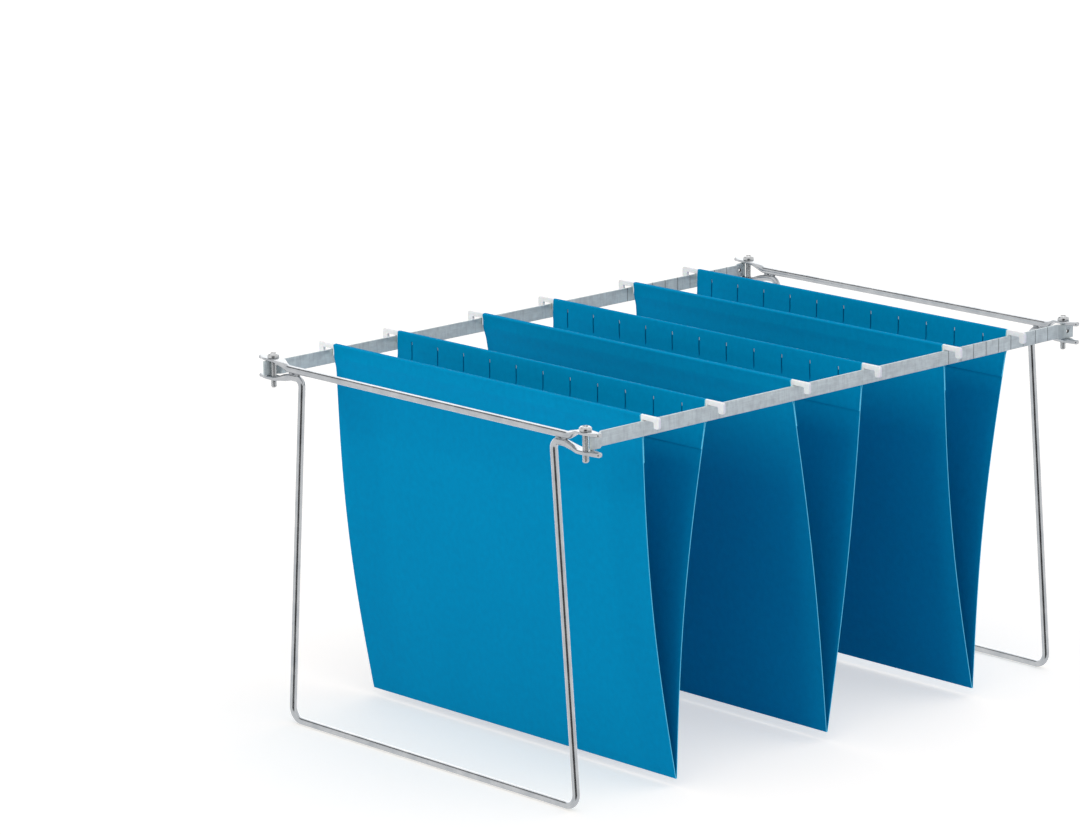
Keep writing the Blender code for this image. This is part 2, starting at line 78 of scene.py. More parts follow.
WIRE_RADIUS = 2.5 * MM
WIRE_SIDES = 28
BEND_STEP = math.radians(7.5)
CROSSBAR_BEND_Y = 137.0 * MM
UPPER_EAR_BEND_Y = 146.5 * MM
LOWER_EAR_BEND_Y = 148.0 * MM
LEG_RUN_BEND_Y = 134.0 * MM
CROSSBAR_BELOW_RAIL_TOP = 3.1 * MM
LEG_TOP_Y = 122.8 * MM
LEG_FOOT_Y = 141.1 * MM
LEG_TOP_BEND_RADIUS = 5.0 * MM
LEG_FOOT_BEND_RADIUS = 9.0 * MM
EAR_BEND_RADIUS = 8.0 * MM
UPPER_EAR_EYE = (4.75 * MM, 1.1 * MM)    # half width and half thickness at the screw
LOWER_EAR_EYE = (4.2 * MM, 1.4 * MM)
EAR_TIP = (2.1 * MM, 1.7 * MM)           # the same, at the wire's end
EAR_BLEND = 9.0 * MM
EAR_CLEARANCE = 0.1 * MM                 # between an ear and the rail
EAR_FULL_AT = 0.75                       # share of the way to the screw where it is full width
TIP_ROUNDNESS = 0.85                     # 1 is an ellipse, less is squarer
EYE_ROUNDNESS = 0.5
NOSE_LENGTH = 1.3 * MM                   # the wire's rounded end
NOSE_BLUNTNESS = 0.25
NOSE_STEP = 0.35 * MM                    # distances between the swept sections
NOSE_STEPS_END = 2.0 * MM
EAR_STEP = 1.0 * MM
EAR_STEPS_PAST_BLEND = 2.0 * MM
WIRE_STEP = 8.0 * MM
SHORTEST_STEP = 0.3                      # a share; less than that joins the step before
WELD_GAP = 0.3 * MM
WELD_OUTWARDS = (4.6 * MM, 10.8 * MM)    # the nuggets, from the leg's top bend
WELD_SIZE = (1.55 * MM, 2.3 * MM, 0.95 * MM)
WELD_LUMP_HEIGHT = 0.08 * MM

THREAD_RADIUS = 2.1 * MM
THREAD_ROOT = 1.68 * MM
THREAD_PITCH = 0.8 * MM
THREAD_SIDES = 26
THREAD_CREST_FLATNESS = 1.35      # 1 is a sharp crest, more is flatter
THREAD_POINT = 0.8 * MM           # the tapered end's length
THREAD_POINT_RADIUS = 0.72        # its radius at the tip, as a share
HEAD_RADIUS = 4.1 * MM
HEAD_HEIGHT = 3.0 * MM
HEAD_FLAT = 0.55                  # share of the head's radius on top, where the crown starts
HEAD_RIM = 0.42                   # share of its height where the crown ends
# (radius, height) from the crown's lower edge, round under the head, to the shank.
HEAD_UNDERSIDE = (
    (4.1 * MM, 0.35 * MM), (4.02 * MM, 0.12 * MM), (3.85 * MM, 0.0), (2.3 * MM, -0.02 * MM))
SHANK_BELOW_SEAT = 0.02 * MM
RECESS_ARM = 2.4 * MM
RECESS_WIDTH = 0.85 * MM
RECESS_DEPTH = 1.5 * MM

CARD_THICKNESS = 0.6 * MM
FLAP_DEPTH = 246.4 * MM
CARD_ABOVE_ROD = 4.3 * MM
FOLD_RISE = 0.05 * MM             # the fold over the rod above the card's nominal top
POCKET_WALL = 1.75 * MM           # rod axis to the middle of the pocket's wall, where it is wide
POCKET_NARROW = 1.25 * MM         # the same, where the flap leans towards the rod
POCKET_STRAIGHT = 4.0 * MM
POCKET_BOTTOM = 9.0 * MM
POCKET_RUN_OUT = 15.0 * MM
POCKET_CORNER_RADIUS = 0.8 * MM
HEM_DEPTH = 28.5 * MM
HEM_PLY_OFFSET = 0.03 * MM        # the hem's ply from the rod's plane
PLY_GAP = 0.01 * MM               # between the hem's ply and the flap's
CREASE_RADIUS = 0.5 * MM
WAVE_HEIGHT = 0.45 * MM
BOWS = {1: -6.0 * MM, 2: 3.0 * MM, 3: -6.0 * MM}
SLOT_COUNT = 11
SLOT_PITCH = 26.3 * MM
SLOT_FROM_LEFT_EDGE = 15.0 * MM
SLOT_BELOW_TOP = 5.5 * MM
SLOT_HEIGHT = 13.5 * MM
SLOT_WIDTH = 1.0 * MM

HOOK_STUB_END_Y = 151.0 * MM
HOOK_PRONG_WIDTH = 5.0 * MM
HOOK_STUB_BOTTOM = 246.8 * MM
HOOK_PRONG_BOTTOM = 247.4 * MM
HOOK_CLEARANCE = 0.15 * MM
HOOK_FROM_CARD = 0.05 * MM
HOOK_EDGE_RADIUS = 0.55 * MM
HOOK_EDGE_DEPTH = 0.7             # how far the edge rounds inwards, as a share of its radius
# Radii of a hook's corners: stub, notch, then down, round and back over the prong.
HOOK_RADII = (0.6 * MM, 0.4 * MM, 0.9 * MM, 1.5 * MM, 1.7 * MM, 1.7 * MM)

CAMERA_PLACE = Vector((-2.24579, -2.27530, 0.95600))
CAMERA_AZIMUTH = math.radians(-42.98)
CAMERA_ELEVATION = math.radians(13.32)
CAMERA_ROLL = math.radians(-0.69)
CAMERA_LENS = 159.61
SENSOR_WIDTH = 36.0

FLOOR_HALF_SIZE = 30.0
FLOOR_GLOW = 0.44
BOUNCE_BELOW_FLOOR = 1.0 * MM
KEY_PLACE = (-2.5, 0.1, 1.5)
KEY_TARGET = (0.0, 0.0, 0.15)
KEY_SIZE = (1.4, 1.4)
KEY_POWER = 32.5
KEY_TINT = (1.0, 1.0, 0.8)
HORIZON_LEVEL = 0.14               # the even light near the floor and overhead
ZENITH_LEVEL = 1.05
FILL_TINT = (0.97, 0.98, 1.1)
FILL_SIDE = (0.35, -0.9, 0.25)     # where the even light is strongest
FILL_RANGE = (0.5, 1.45)           # its strength away from that side and towards it
BACKDROP_LEVEL = 1.1               # what shows past the floor
REFLECTED_LEVEL = 0.8              # the room in reflections, outside the zones below
# Direction, cosine at the zone's edge and where it is full, brightness in reflections.
REFLECTED_ZONES = (
    ((0.66, 0.71, 0.25), 0.60, 0.85, 1.5),       # bright wall behind the rack
    ((-0.67, -0.72, -0.18), 0.80, 0.92, 0.04),   # dark room round the photographer
    ((-0.2, 0.71, 0.67), 0.95, 0.985, 0.1),      # gap between the wall and the softbox
)

# ---------------------------------------------------------------- places read from the frame
rail_low, rail_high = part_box("right_rail")
screw_low, screw_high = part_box("rear_left_screw")
RAIL_TOP = rail_high.z
RAIL_BOTTOM = rail_low.z
SCREW_X = (screw_low.x + screw_high.x) / 2.0
SCREW_Y = (screw_low.y + screw_high.y) / 2.0
STRIP_JOGGLE = rail_high.y - rail_low.y - STRIP_THICKNESS
EAR_TIP_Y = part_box("front_crossbar")[1].y
CARD_HALF_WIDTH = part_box("folder_1_front_flap")[1].y
JOINTS = {joint["name"]: joint for joint in frame["joints"]}


# ---------------------------------------------------------------- node helpers
def new_material(name, base, roughness, metallic=0.0):
    """A Principled material; returns it with its tree and shader for the detail nodes."""
    material = bpy.data.materials.new(name)
    material.use_nodes = True
    tree = material.node_tree
    shader = tree.nodes["Principled BSDF"]
    shader.inputs["Base Color"].default_value = (*base, 1.0)
    shader.inputs["Roughness"].default_value = roughness
    shader.inputs["Metallic"].default_value = metallic
    return material, tree, shader


def add_node(tree, kind, inputs=None, **settings):
    """A node with its settings; an input is a value or another node's output."""
    made = tree.nodes.new(kind)
    for name, value in settings.items():
        setattr(made, name, value)
    for name, value in (inputs or {}).items():
        if isinstance(value, bpy.types.NodeSocket):
            tree.links.new(value, made.inputs[name])
        else:
            made.inputs[name].default_value = value
    return made


def noise(tree, source, stretch, detail, roughness=0.55):
    """Noise over stretched coordinates; stretch is features per metre along each axis."""
    mapping = add_node(tree, "ShaderNodeMapping", {"Vector": source, "Scale": stretch})
    made = add_node(tree, "ShaderNodeTexNoise", {
        "Vector": mapping.outputs["Vector"], "Scale": 1.0, "Detail": detail, "Roughness": roughness})
    return made.outputs["Fac"]


def blend_colours(tree, factor, dark, light, low=0.3, high=0.7):
    """Colours between dark and light as factor goes from low to high."""
    ramp = add_node(tree, "ShaderNodeValToRGB", {"Fac": factor})
    ramp.color_ramp.elements[0].position = low
    ramp.color_ramp.elements[0].color = (*dark, 1.0)
    ramp.color_ramp.elements[1].position = high
    ramp.color_ramp.elements[1].color = (*light, 1.0)
    return ramp.outputs["Color"]


def map_range(tree, value, low, high, to_low, to_high):
    """value carried from the range low to high over to the range to_low to to_high."""
    return add_node(tree, "ShaderNodeMapRange", {
        "Value": value, "From Min": low, "From Max": high,
        "To Min": to_low, "To Max": to_high}).outputs["Result"]


def multiply_colours(tree, first, second):
    mix = add_node(tree, "ShaderNodeMix", data_type="RGBA", blend_type="MULTIPLY")
    mix.inputs["Factor"].default_value = 1.0
    tree.links.new(first, mix.inputs["A"])
    tree.links.new(second, mix.inputs["B"])
    return mix.outputs["Result"]


def mix_values(tree, factor, first, second):
    """first where factor is 0, second where it is 1."""
    mix = add_node(tree, "ShaderNodeMix", {"Factor": factor, "A": first, "B": second}, data_type="FLOAT")
    return mix.outputs["Result"]


def add_bump(tree, shader, height, distance):
    """Relief in the shader: height is 0 to 1, and distance is what 1 stands for."""
    bump = add_node(tree, "ShaderNodeBump", {
        "Height": height, "Distance": distance, "Strength": 1.0})
    tree.links.new(bump.outputs["Normal"], shader.inputs["Normal"])


def object_coordinates(tree):
    return add_node(tree, "ShaderNodeTexCoord").outputs["Object"]


def uv_coordinates(tree):
    return add_node(tree, "ShaderNodeUVMap", uv_map="UVMap").outputs["UV"]


# ---------------------------------------------------------------- materials
def make_wire_zinc():
    """Bright zinc on drawn wire: faint lines along the wire and cloudy patches. UV is in metres."""
    material, tree, shader = new_material("wire_zinc", (0.68, 0.70, 0.72), 0.2, 1.0)
    uv = uv_coordinates(tree)
    clouds = noise(tree, uv, (90.0, 160.0, 1.0), 4.0)
    lines = noise(tree, uv, (35.0, 3800.0, 1.0), 2.0)
    patina = blend_colours(tree, clouds, (0.56, 0.59, 0.62), (0.74, 0.755, 0.77))
    drawn = blend_colours(tree, lines, (0.86, 0.86, 0.87), (1.0, 1.0, 1.0))
    tree.links.new(multiply_colours(tree, patina, drawn), shader.inputs["Base Color"])
    tree.links.new(map_range(tree, clouds, 0.3, 0.7, 0.15, 0.27), shader.inputs["Roughness"])
    add_bump(tree, shader, lines, 0.02 * MM)
    return material


def make_weld_zinc():
    """Zinc over a spot weld: duller and grainy."""
    material, tree, shader = new_material("weld_zinc", (0.5, 0.52, 0.54), 0.4, 1.0)
    where = object_coordinates(tree)
    grains = noise(tree, where, (1800.0, 1800.0, 1800.0), 4.0)
    colour = blend_colours(tree, grains, (0.36, 0.37, 0.39), (0.66, 0.68, 0.70))
    tree.links.new(colour, shader.inputs["Base Color"])
    tree.links.new(map_range(tree, grains, 0.3, 0.7, 0.3, 0.5), shader.inputs["Roughness"])
    add_bump(tree, shader, grains, 0.12 * MM)
    return material


def make_strip_steel():
    """Plated strip: fine grain along the rail, cloudy spangle and faint handling marks."""
    material, tree, shader = new_material("strip_steel", (0.65, 0.71, 0.70), 0.4, 0.4)
    where = object_coordinates(tree)
    grain = noise(tree, where, (45.0, 2600.0, 2600.0), 3.0)
    spangle = noise(tree, where, (170.0, 400.0, 240.0), 4.0)
    marks = noise(tree, where, (700.0, 500.0, 90.0), 2.0)
    cloudy = blend_colours(tree, spangle, (0.56, 0.62, 0.615), (0.72, 0.80, 0.785))
    grained = blend_colours(tree, grain, (0.86, 0.86, 0.87), (1.0, 1.0, 1.0))
    marked = blend_colours(tree, marks, (0.90, 0.90, 0.91), (1.0, 1.0, 1.0), 0.35, 0.5)
    both = multiply_colours(tree, cloudy, grained)
    tree.links.new(multiply_colours(tree, both, marked), shader.inputs["Base Color"])
    tree.links.new(map_range(tree, spangle, 0.3, 0.7, 0.34, 0.48), shader.inputs["Roughness"])
    add_bump(tree, shader, grain, 0.02 * MM)
    return material


def make_score_painted_shade():
    """The bottom of a score line or a punched hole, painted near-black as the shade in the recess, with
    a random mottle.
    """
    material, tree, shader = new_material("score_painted_shade", (0.12, 0.12, 0.13), 0.6, 1.0)
    where = object_coordinates(tree)
    shade_mottle = noise(tree, where, (2200.0, 2200.0, 700.0), 3.0)
    colour = blend_colours(tree, shade_mottle, (0.06, 0.06, 0.065), (0.26, 0.26, 0.27))
    tree.links.new(colour, shader.inputs["Base Color"])
    tree.links.new(map_range(tree, shade_mottle, 0.3, 0.7, 0.45, 0.7), shader.inputs["Roughness"])
    return material


def make_screw_zinc():
    """Bright zinc on a rolled and pressed screw."""
    material, tree, shader = new_material("screw_zinc", (0.70, 0.71, 0.72), 0.22, 1.0)
    where = object_coordinates(tree)
    clouds = noise(tree, where, (600.0, 600.0, 600.0), 4.0)
    scratches = noise(tree, where, (5200.0, 900.0, 2400.0), 2.0)
    colour = blend_colours(tree, clouds, (0.60, 0.61, 0.62), (0.76, 0.77, 0.775))
    tree.links.new(colour, shader.inputs["Base Color"])
    tree.links.new(map_range(tree, clouds, 0.3, 0.7, 0.16, 0.32), shader.inputs["Roughness"])
    add_bump(tree, shader, scratches, 0.02 * MM)
    return material


def make_rod_painted_reflection():
    """Cold-rolled rod inside a hem, its grey tinted blue as a painted reflection of the blue card round
    it.
    """
    material, tree, shader = new_material("rod_painted_reflection_rolled", (0.44, 0.53, 0.57), 0.35, 1.0)
    where = object_coordinates(tree)
    grain = noise(tree, where, (2500.0, 40.0, 2500.0), 3.0)
    colour = blend_colours(tree, grain, (0.38, 0.47, 0.51), (0.52, 0.63, 0.67))
    tree.links.new(colour, shader.inputs["Base Color"])
    tree.links.new(map_range(tree, grain, 0.3, 0.7, 0.28, 0.42), shader.inputs["Roughness"])
    add_bump(tree, shader, grain, 0.02 * MM)
    return material


def card_fibres(tree, dark, light):
    """Colour, fibres and mottle of dyed card. UV is in metres: across the card, then down it."""
    uv = uv_coordinates(tree)
    mottle = noise(tree, uv, (260.0, 200.0, 1.0), 5.0, 0.6)
    fibres = noise(tree, uv, (3800.0, 1300.0, 1.0), 3.0)
    broad = noise(tree, uv, (14.0, 11.0, 1.0), 2.0)
    colour = blend_colours(tree, mottle, dark, light, 0.25, 0.75)
    flecks = blend_colours(tree, fibres, (0.93, 0.95, 0.96), (1.0, 1.0, 1.0), 0.25, 0.6)
    clouds = blend_colours(tree, broad, (0.96, 0.97, 0.975), (1.0, 1.0, 1.0), 0.35, 0.65)
    mixed = multiply_colours(tree, multiply_colours(tree, colour, flecks), clouds)
    return mixed, fibres, mottle


def make_card():
    """Matt blue card with a faint mottle and short fibres."""
    material, tree, shader = new_material("blue_card_face", (0.002, 0.25, 0.47), 0.62)
    colour, fibres, mottle = card_fibres(tree, (0.0, 0.245, 0.478), (0.0, 0.285, 0.538))
    tree.links.new(colour, shader.inputs["Base Color"])
    tree.links.new(map_range(tree, mottle, 0.3, 0.7, 0.56, 0.68), shader.inputs["Roughness"])
    shader.inputs["Specular IOR Level"].default_value = 0.02
    add_bump(tree, shader, fibres, 0.03 * MM)
    return material


def make_edge_fibres_and_highlight():
    """The card's cut edge: paler fibres, and a painted highlight of the lit edge that makes it far
    lighter than the face.
    """
    material, tree, shader = new_material("blue_edge_fibres_painted_highlight", (0.46, 0.83, 0.97), 0.8)
    where = object_coordinates(tree)
    fibres = noise(tree, where, (2600.0, 2600.0, 900.0), 4.0)
    colour = blend_colours(tree, fibres, (0.07, 0.69, 0.93), (0.24, 0.83, 1.0))
    tree.links.new(colour, shader.inputs["Base Color"])
    tree.links.new(map_range(tree, fibres, 0.3, 0.7, 0.7, 0.9), shader.inputs["Roughness"])
    shader.inputs["Specular IOR Level"].default_value = 0.02
    add_bump(tree, shader, fibres, 0.05 * MM)
    return material


def make_hook_plastic():
    """White coating on the hooks, faintly uneven, with fine duller patches all over."""
    material, tree, shader = new_material("hook_plastic", (0.92, 0.92, 0.92), 0.35)
    where = object_coordinates(tree)
    cast = noise(tree, where, (420.0, 420.0, 420.0), 3.0)
    rub = noise(tree, where, (2600.0, 1400.0, 2600.0), 3.0)
    tint = blend_colours(tree, cast, (0.89, 0.89, 0.885), (0.95, 0.95, 0.95))
    rubbed = blend_colours(tree, rub, (0.95, 0.95, 0.94), (1.0, 1.0, 1.0), 0.3, 0.55)
    tree.links.new(multiply_colours(tree, tint, rubbed), shader.inputs["Base Color"])
    tree.links.new(map_range(tree, rub, 0.3, 0.7, 0.28, 0.45), shader.inputs["Roughness"])
    shader.inputs["Subsurface Weight"].default_value = 0.1
    shader.inputs["Subsurface Scale"].default_value = 0.6 * MM
    add_bump(tree, shader, cast, 0.05 * MM)
    return material


def make_floor_material():
    """White paper under its own soft light, which keeps the shadows on it faint."""
    material, tree, shader = new_material("studio_floor", (0.8, 0.8, 0.8), 0.55)
    where = object_coordinates(tree)
    broad = noise(tree, where, (3.0, 3.0, 3.0), 2.0)
    colour = blend_colours(tree, broad, (0.85, 0.81, 0.70), (0.87, 0.83, 0.72))
    tree.links.new(colour, shader.inputs["Base Color"])
    shader.inputs["Specular IOR Level"].default_value = 0.0
    shader.inputs["Emission Color"].default_value = (1.0, 1.0, 1.0, 1.0)
    shader.inputs["Emission Strength"].default_value = FLOOR_GLOW
    return material


def make_bounce_material():
    """The floor as the rack sees it."""
    material, tree, shader = new_material("floor_bounce", (0.45, 0.45, 0.45), 0.8)
    where = object_coordinates(tree)
    broad = noise(tree, where, (3.0, 3.0, 3.0), 2.0)
    colour = blend_colours(tree, broad, (0.65, 0.68, 0.79), (0.69, 0.72, 0.83))
    tree.links.new(colour, shader.inputs["Base Color"])
    return material


# ---------------------------------------------------------------- mesh helpers
def finish_piece(name, bm, materials, body, replaced, smooth_angle):
    """Make a bmesh into a piece that rides on a body in place of CAD nodes, if it replaces any."""
    obj = make_object(name, bm, materials, smooth_angle)
    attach(obj, body)
    if replaced:
        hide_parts(*replaced)


def make_object(name, bm, materials, smooth_angle):
    """Make a bmesh into an object whose edges over smooth_angle degrees stay sharp."""
    bmesh.ops.recalc_face_normals(bm, faces=bm.faces)
    mesh = bpy.data.meshes.new(name)
    bm.to_mesh(mesh)
    bm.free()
    mesh.shade_smooth()
    mesh.set_sharp_from_angle(angle=math.radians(smooth_angle))
    for material in materials:
        mesh.materials.append(material)
    obj = bpy.data.objects.new(name, mesh)
    bpy.context.scene.collection.objects.link(obj)
    return obj


def subtract(obj, cutters):
    """Cut the cutters out of obj for good and remove them."""
    for cutter in cutters:
        boolean = obj.modifiers.new(cutter.name, "BOOLEAN")
        boolean.operation = "DIFFERENCE"
        boolean.solver = "EXACT"
        boolean.object = cutter
    evaluated = obj.evaluated_get(bpy.context.evaluated_depsgraph_get())
    mesh = bpy.data.meshes.new_from_object(evaluated)
    obj.modifiers.clear()
    obj.data = mesh
    for cutter in cutters:
        bpy.data.objects.remove(cutter)


def smooth_step(share):
    """0 to 1 with a soft start and a soft end."""
    share = min(1.0, max(0.0, share))
    return share * share * (3.0 - 2.0 * share)


def fillet(points, radii, step_angle):
    """Round the inner corners of an open 2-D path with arcs, one radius per corner."""
    path = [Vector(points[0])]
    for before, corner, after, radius in zip(points, points[1:], points[2:], radii):
        corner = Vector(corner)
        to_before = (Vector(before) - corner).normalized()
        to_after = (Vector(after) - corner).normalized()
        opening = to_before.angle(to_after)
        setback = radius / math.tan(opening / 2.0)
        centre = corner + (to_before + to_after).normalized() * (radius / math.sin(opening / 2.0))
        start = corner + to_before * setback - centre
        turn = start.angle_signed(corner + to_after * setback - centre)
        steps = max(2, math.ceil(abs(turn) / step_angle))
        for step in range(steps + 1):
            path.append(centre + Matrix.Rotation(-turn * step / steps, 2) @ start)
    path.append(Vector(points[-1]))
    return path


def skin(rings, lengths=None, material_of=None):
    """Skin equal closed rings of points and cap both ends.

    UV is in metres along and round the piece. lengths are the rings' places along it, and
    material_of gives a row's material.
    """
    bm = bmesh.new()
    uv_layer = bm.loops.layers.uv.new("UVMap")
    corners = [[bm.verts.new(point) for point in ring] for ring in rings]
    count = len(rings[0])
    if lengths is None:
        lengths = [0.0]
        for first, second in zip(rings, rings[1:]):
            lengths.append(lengths[-1] + (Vector(second[0]) - Vector(first[0])).length)
    around = [0.0]
    middle = rings[len(rings) // 2]
    for i in range(count):
        step = Vector(middle[(i + 1) % count]) - Vector(middle[i])
        around.append(around[-1] + step.length)
    for row, (lower, upper) in enumerate(zip(corners, corners[1:])):
        for i in range(count):
            j = (i + 1) % count
            face = bm.faces.new((lower[i], lower[j], upper[j], upper[i]))
            places = (
                (lengths[row], around[i]),
                (lengths[row], around[i + 1]),
                (lengths[row + 1], around[i + 1]),
                (lengths[row + 1], around[i]),
            )
            for loop, place in zip(face.loops, places):
                loop[uv_layer].uv = place
            if material_of:
                face.material_index = material_of(row)
    caps = [bm.faces.new(corners[0]), bm.faces.new(list(reversed(corners[-1])))]
    bm.normal_update()
    bmesh.ops.triangulate(bm, faces=caps)
    return bm


def cylinder_cutter(name, radius, length, rotation, centre):
    bm = bmesh.new()
    bmesh.ops.create_cone(
        bm, cap_ends=True, segments=32, radius1=radius, radius2=radius, depth=length)
    bmesh.ops.rotate(bm, verts=bm.verts, matrix=rotation)
    bmesh.ops.translate(bm, verts=bm.verts, vec=centre)
    return make_object(name, bm, [score_painted_shade], 40.0)


def box_cutter(name, size, centre):
    bm = bmesh.new()
    bmesh.ops.create_cube(bm, size=1.0)
    bmesh.ops.scale(bm, verts=bm.verts, vec=size)
    bmesh.ops.translate(bm, verts=bm.verts, vec=centre)
    return make_object(name, bm, [score_painted_shade], 40.0)


# ---------------------------------------------------------------- wires
def ear_section(distance, screw_distance, flat_length, eye):
    """Half width, half height and roundness of the wire at a distance from its end.

    The end is only nipped. The wire is flattest at the screw, and round again past the bend.
    """
    to_eye = smooth_step(distance / (screw_distance * EAR_FULL_AT))
    width = EAR_TIP[0] + (eye[0] - EAR_TIP[0]) * to_eye
    height = EAR_TIP[1] + (eye[1] - EAR_TIP[1]) * to_eye
    roundness = TIP_ROUNDNESS + (EYE_ROUNDNESS - TIP_ROUNDNESS) * to_eye
    to_wire = smooth_step((distance - flat_length) / EAR_BLEND)
    width += (WIRE_RADIUS - width) * to_wire
    height += (WIRE_RADIUS - height) * to_wire
    roundness += (1.0 - roundness) * to_wire
    if distance < NOSE_LENGTH:
        nose = math.sqrt(max(0.0, 1.0 - (1.0 - distance / NOSE_LENGTH) ** 2))
        width *= NOSE_BLUNTNESS + (1.0 - NOSE_BLUNTNESS) * nose
        height *= NOSE_BLUNTNESS + (1.0 - NOSE_BLUNTNESS) * nose
    return width, height, roundness


def refine(path, near_length):
    """Add points to a path: close together near its ends, far apart elsewhere."""
    total = sum((b - a).length for a, b in zip(path, path[1:]))
    fine = [path[0]]
    travelled = 0.0
    for first, second in zip(path, path[1:]):
        length = (second - first).length
        at = 0.0
        while at < length - 1e-7:
            end_distance = min(travelled + at, total - travelled - at)
            step = NOSE_STEP if end_distance < NOSE_STEPS_END else EAR_STEP
            if end_distance > near_length:
                step = WIRE_STEP
            at = min(length, at + step)
            if length - at < SHORTEST_STEP * step:
                at = length
            fine.append(first.lerp(second, at / length))
        travelled += length
    return fine


def bent_wire(name, x, path, eye, flat_length, screw_distance, node):
    """Sweep the wire along a (y, z) path in the plane X = x, with an ear at both ends."""
    fine = refine(path, flat_length + EAR_BLEND + EAR_STEPS_PAST_BLEND)
    travelled = [0.0]
    for first, second in zip(fine, fine[1:]):
        travelled.append(travelled[-1] + (second - first).length)
    rings = []
    for i, point in enumerate(fine):
        ahead = fine[min(i + 1, len(fine) - 1)]
        behind = fine[max(i - 1, 0)]
        along = (ahead - behind).normalized()
        normal = Vector((-along.y, along.x))
        distance = min(travelled[i], travelled[-1] - travelled[i])
        width, height, roundness = ear_section(distance, screw_distance, flat_length, eye)
        ring = []
        for k in range(WIRE_SIDES):
            angle = 2.0 * math.pi * (k + 0.5) / WIRE_SIDES
            across = math.copysign(abs(math.cos(angle)) ** roundness, math.cos(angle)) * width
            up = math.copysign(abs(math.sin(angle)) ** roundness, math.sin(angle)) * height
            ring.append((x + across, point.x + normal.x * up, point.y + normal.y * up))
        rings.append(ring)
    bm = skin(rings, travelled)
    finish_piece(name, bm, [wire_zinc], "rack", [node], 50.0)


def upper_ear_z():
    return RAIL_TOP + UPPER_EAR_EYE[1] + EAR_CLEARANCE


def lower_ear_z():
    return RAIL_BOTTOM - LOWER_EAR_EYE[1] - EAR_CLEARANCE


def crossbar_z():
    return RAIL_TOP - CROSSBAR_BELOW_RAIL_TOP


def leg_run_z():
    return crossbar_z() - 2.0 * WIRE_RADIUS - WELD_GAP


def make_end_frame(end, x):
    """Both wires of an end frame and the welds between them."""
    half = [
        (EAR_TIP_Y, upper_ear_z()),
        (UPPER_EAR_BEND_Y, upper_ear_z()),
        (CROSSBAR_BEND_Y, crossbar_z()),
    ]
    points = half + [(-y, z) for y, z in reversed(half)]
    path = fillet(points, [EAR_BEND_RADIUS] * (len(points) - 2), BEND_STEP)
    bent_wire(f"{end}_crossbar_wire", x, path, UPPER_EAR_EYE, EAR_TIP_Y - UPPER_EAR_BEND_Y,
              EAR_TIP_Y - SCREW_Y, f"{end}_crossbar")

    half = [
        (EAR_TIP_Y, lower_ear_z()),
        (LOWER_EAR_BEND_Y, lower_ear_z()),
        (LEG_RUN_BEND_Y, leg_run_z()),
        (LEG_TOP_Y, leg_run_z()),
        (LEG_FOOT_Y, WIRE_RADIUS),
    ]
    radii = [EAR_BEND_RADIUS, EAR_BEND_RADIUS, LEG_TOP_BEND_RADIUS, LEG_FOOT_BEND_RADIUS]
    points = half + [(-y, z) for y, z in reversed(half)]
    path = fillet(points, radii + radii[::-1], BEND_STEP)
    bent_wire(f"{end}_leg_wire", x, path, LOWER_EAR_EYE, EAR_TIP_Y - LOWER_EAR_BEND_Y,
              EAR_TIP_Y - SCREW_Y, f"{end}_leg_frame")
    for hand, side in (("left", 1.0), ("right", -1.0)):
        make_weld(f"{end}_{hand}_weld", x, side)


def make_weld(name, x, side):
    """Two squashed nuggets where the crossbar is spot-welded on the leg wire."""
    bm = bmesh.new()
    bm.loops.layers.uv.new("UVMap")
    seam_z = crossbar_z() - WIRE_RADIUS - WELD_GAP / 2.0
    for outwards in WELD_OUTWARDS:
        nugget = bmesh.ops.create_uvsphere(bm, u_segments=20, v_segments=12, radius=1.0)["verts"]
        bmesh.ops.scale(bm, verts=nugget, vec=WELD_SIZE)
        bmesh.ops.translate(bm, verts=nugget, vec=(x, side * (LEG_TOP_Y + outwards), seam_z))
    for vert in bm.verts:
        swell = math.sin(2900.0 * vert.co.x) * math.sin(2300.0 * vert.co.y + 1.0)
        vert.co.x += WELD_LUMP_HEIGHT * swell
    finish_piece(name, bm, [weld_zinc], "rack", [], 60.0)


# ---------------------------------------------------------------- rails
def strip_section(half_thickness):
    """(y, z) outline of the strip, its rolled edges rounded."""
    half_height = (RAIL_TOP - RAIL_BOTTOM) / 2.0
    radius = STRIP_EDGE_RADIUS
    outline = []
    for corner in range(4):
        turn = math.pi / 2.0 * corner
        sign_y = 1.0 if corner in (0, 3) else -1.0
        sign_z = 1.0 if corner in (0, 1) else -1.0
        for step in range(5):
            angle = turn + math.pi / 2.0 * step / 4.0
            y = sign_y * (half_thickness - radius) + radius * math.cos(angle)
            z = sign_z * (half_height - radius) + radius * math.sin(angle)
            outline.append((y, z))
    return outline


def rail_end_x():
    return SCREW_X + RAIL_END_PAST_SCREW


def strip_stations():
    """(x, depth of the score there) along a rail, from its front end to its rear end."""
    stations = []
    joggle_steps = 10
    for step in range(joggle_steps + 1):
        before = JOGGLE_END + (JOGGLE_START - JOGGLE_END) * step / joggle_steps
        stations.append((-SCREW_X + before, 0.0))
        stations.append((SCREW_X - before, 0.0))
    for end in (-1.0, 1.0):
        stations.append((end * rail_end_x(), 0.0))
        stations.append((end * (rail_end_x() - STRIP_END_BREAK_LENGTH), 0.0))
    for i in range(SCORE_COUNT):
        middle = SCREW_X - SCORE_FROM_SCREW - i * SCORE_PITCH
        for share, depth in ((-0.5, 0.0), (-0.3, 0.75), (0.0, 1.0), (0.3, 0.75), (0.5, 0.0)):
            stations.append((middle + share * SCORE_WIDTH, depth * SCORE_DEPTH))
        stations.append((middle - SCORE_PITCH / 2.0, 0.0))
    plain_end = SCREW_X - SCORE_FROM_SCREW - SCORE_COUNT * SCORE_PITCH
    plain_start = -SCREW_X + JOGGLE_START
    plain_steps = 20
    for step in range(1, plain_steps):
        stations.append((plain_start + (plain_end - plain_start) * step / plain_steps, 0.0))
    return sorted(stations)


